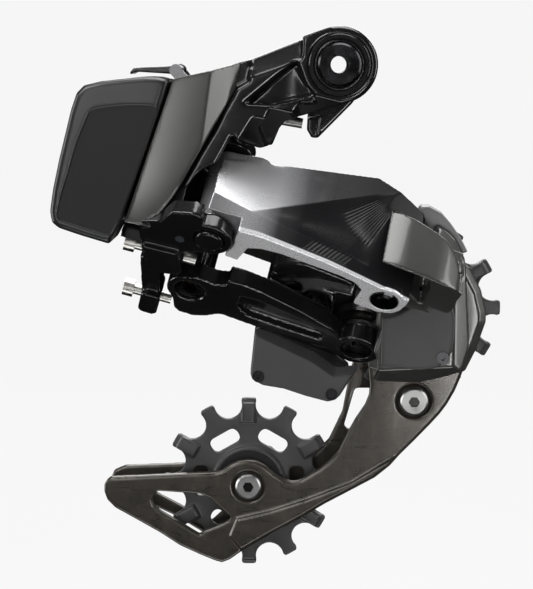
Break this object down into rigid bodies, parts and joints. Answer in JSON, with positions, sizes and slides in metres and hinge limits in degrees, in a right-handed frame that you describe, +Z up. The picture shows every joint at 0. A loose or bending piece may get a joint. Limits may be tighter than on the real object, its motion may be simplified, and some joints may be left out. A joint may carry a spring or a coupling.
{
  "type": "rear bicycle derailleur",
  "caption": "Wireless rear bicycle derailleur: battery and knuckle on a hanger bolt, slanted parallelogram links, and a sprung cage with toothed guide and tension pulleys.",
  "frame": {"origin": "the hanger bolt's axis where it meets the tab washer's face that rests on the bicycle's hanger", "axes": "+X towards the front of the bicycle, +Y inboard along the hanger bolt, +Z up"},
  "size_m": [0.1284, 0.0762, 0.1662],
  "materials": {
    "gloss_black_alloy": "gloss",
    "satin_black_cover": "satin",
    "matte_black_dock": "matte",
    "battery_black": "satin",
    "panel_black": "matte",
    "steel_bright": "satin",
    "steel_dark": "satin",
    "silver_fade_link": "gloss",
    "link_black": "gloss",
    "housing_plastic": "satin",
    "cage_carbon": "satin",
    "pulley_black": "satin",
    "bronze_bush": "satin",
    "gold_contact": "polished",
    "board_green": "matte",
    "spring_steel": "satin",
    "window_clear": "gloss",
    "cap_grey": "satin"
  },
  "bodies": {
    "knuckle": {"b_knuckle": "gloss_black_alloy", "knuckle_cover": "satin_black_cover", "dock_block": "matte_black_dock", "battery_contacts": "gold_contact", "boss_ring": "steel_dark", "bolt_bush": "bronze_bush", "control_board": "board_green", "led_window": "window_clear", "knuckle_pins": "steel_dark", "latch_pin": "steel_dark", "knuckle_pin_clip": "steel_dark"},
    "bolt": {"hanger_bolt": "steel_dark", "bolt_circlip": "steel_dark"},
    "tab": {"tab_washer": "steel_dark"},
    "tension_screw": {"b_screw": "steel_bright"},
    "high_screw": {"limit_screw_high": "steel_bright"},
    "low_screw": {"limit_screw_low": "steel_bright"},
    "button": {"function_button": "housing_plastic"},
    "battery_pack": {"battery": "battery_black", "battery_panel": "panel_black", "battery_cell": "battery_black"},
    "latch": {"battery_latch": "cap_grey"},
    "outer_arm": {"outer_link": "silver_fade_link", "outer_link_bushes": "bronze_bush", "outer_pin": "steel_dark", "outer_clip": "steel_dark"},
    "inner_arm": {"inner_link": "link_black", "inner_link_bushes": "bronze_bush", "motor_housing": "housing_plastic", "motor_cover": "housing_plastic", "motor_cover_screws": "steel_dark", "motor": "steel_bright"},
    "pinion": {"motor_pinion": "steel_bright"},
    "idler": {"idler_gear": "steel_dark"},
    "pulley_knuckle": {"p_knuckle": "gloss_black_alloy", "gear_cover": "housing_plastic", "gear_cover_screws": "steel_dark", "knuckle_cap": "cap_grey", "damper_cover": "matte_black_dock", "p_knuckle_bushes": "bronze_bush", "inner_pin": "steel_dark", "inner_clip": "steel_dark", "sector_gear": "steel_dark", "shaft_bush": "bronze_bush", "cage_spring": "spring_steel"},
    "cage": {"cage_outer_plate": "cage_carbon", "cage_inner_plate": "cage_carbon", "cage_shaft": "steel_dark", "inner_races": "steel_bright", "pulley_shields": "steel_dark", "lower_pulley_bolt": "steel_dark", "upper_pulley_bolt": "steel_dark", "cage_stop_screw": "steel_dark"},
    "guide_pulley": {"upper_pulley": "pulley_black", "upper_outer_race": "steel_bright", "upper_balls": "steel_bright"},
    "tension_pulley": {"lower_pulley": "pulley_black", "lower_outer_race": "steel_bright", "lower_balls": "steel_bright"}
  },
  "joints": [
    {"name": "shift", "type": "hinge", "parent": "knuckle", "child": "inner_arm", "pos_m": [-0.0395, 0.00679, -0.05357], "axis": [0.1752, 0.6759, 0.7159], "range_deg": [-48, 3.5]},
    {"name": "outer_arm_pivot", "type": "hinge", "parent": "knuckle", "child": "outer_arm", "pos_m": [-0.03263, -0.01254, -0.03701], "axis": [0.1752, 0.6759, 0.7159], "range_deg": [-48, 3.5]},
    {"name": "pulley_knuckle_pivot", "type": "hinge", "parent": "outer_arm", "child": "pulley_knuckle", "pos_m": [0.01492, -0.00553, -0.05526], "axis": [0.1752, 0.6759, 0.7159], "range_deg": [-3.5, 48]},
    {"name": "idler_turn", "type": "hinge", "parent": "inner_arm", "child": "idler", "pos_m": [-0.00662, 0.00838, -0.07011], "axis": [0.1752, 0.6759, 0.7159], "range_deg": [-86.4, 6.3]},
    {"name": "motor_turn", "type": "hinge", "parent": "inner_arm", "child": "pinion", "pos_m": [-0.01365, 0.00735, -0.06741], "axis": [0.1752, 0.6759, 0.7159], "range_deg": [-15.75, 216]},
    {"name": "cage_pivot", "type": "hinge", "parent": "pulley_knuckle", "child": "cage", "pos_m": [0.0241, 0.03, -0.074], "axis": [0, -1, 0], "range_deg": [0, 95], "stiffness_Nm_per_rad": 0.25, "springref_deg": -68.75},
    {"name": "guide_pulley_spin", "type": "hinge", "parent": "cage", "child": "guide_pulley", "pos_m": [0.0241, 0.038, -0.074], "axis": [0, 1, 0], "continuous": true},
    {"name": "tension_pulley_spin", "type": "hinge", "parent": "cage", "child": "tension_pulley", "pos_m": [-0.0266, 0.038, -0.1292], "axis": [0, 1, 0], "continuous": true},
    {"name": "hanger_bolt_turn", "type": "hinge", "parent": "knuckle", "child": "bolt", "pos_m": [0, 0, 0], "axis": [0, 1, 0], "continuous": true},
    {"name": "tension_screw_travel", "type": "slide", "parent": "knuckle", "child": "tension_screw", "axis": [0.9854, 0, -0.1701], "range_m": [-0.0005, 0.004]},
    {"name": "tab_pivot", "type": "hinge", "parent": "knuckle", "child": "tab", "pos_m": [0, 0, 0], "axis": [0, 1, 0], "range_deg": [-13.6, 1.8]},
    {"name": "high_limit_screw_travel", "type": "slide", "parent": "knuckle", "child": "high_screw", "axis": [0.963, 0.0336, -0.2674], "range_m": [-0.002, 0.001]},
    {"name": "low_limit_screw_travel", "type": "slide", "parent": "knuckle", "child": "low_screw", "axis": [0.963, 0.0336, -0.2674], "range_m": [-0.003, 0.0004]},
    {"name": "function_button_press", "type": "slide", "parent": "knuckle", "child": "button", "axis": [0.1752, 0.6759, 0.7159], "range_m": [0, 0.0007], "stiffness_N_per_m": 800, "springref_m": -0.0004},
    {"name": "battery_slide", "type": "slide", "parent": "knuckle", "child": "battery_pack", "axis": [-1, 0, 0], "range_m": [0, 0.025]},
    {"name": "battery_latch_hinge", "type": "hinge", "parent": "knuckle", "child": "latch", "pos_m": [-0.0437, -0.014, -0.0015], "axis": [0, 1, 0], "range_deg": [0, 60]}
  ],
  "couplings": [
    {"joint": "outer_arm_pivot", "follows": "shift", "ratio": 1},
    {"joint": "pulley_knuckle_pivot", "follows": "shift", "ratio": -1},
    {"joint": "idler_turn", "follows": "shift", "ratio": 1.8},
    {"joint": "motor_turn", "follows": "shift", "ratio": -4.5},
    {"joint": "tab_pivot", "follows": "tension_screw_travel", "rad_per_m": -59}
  ]
}
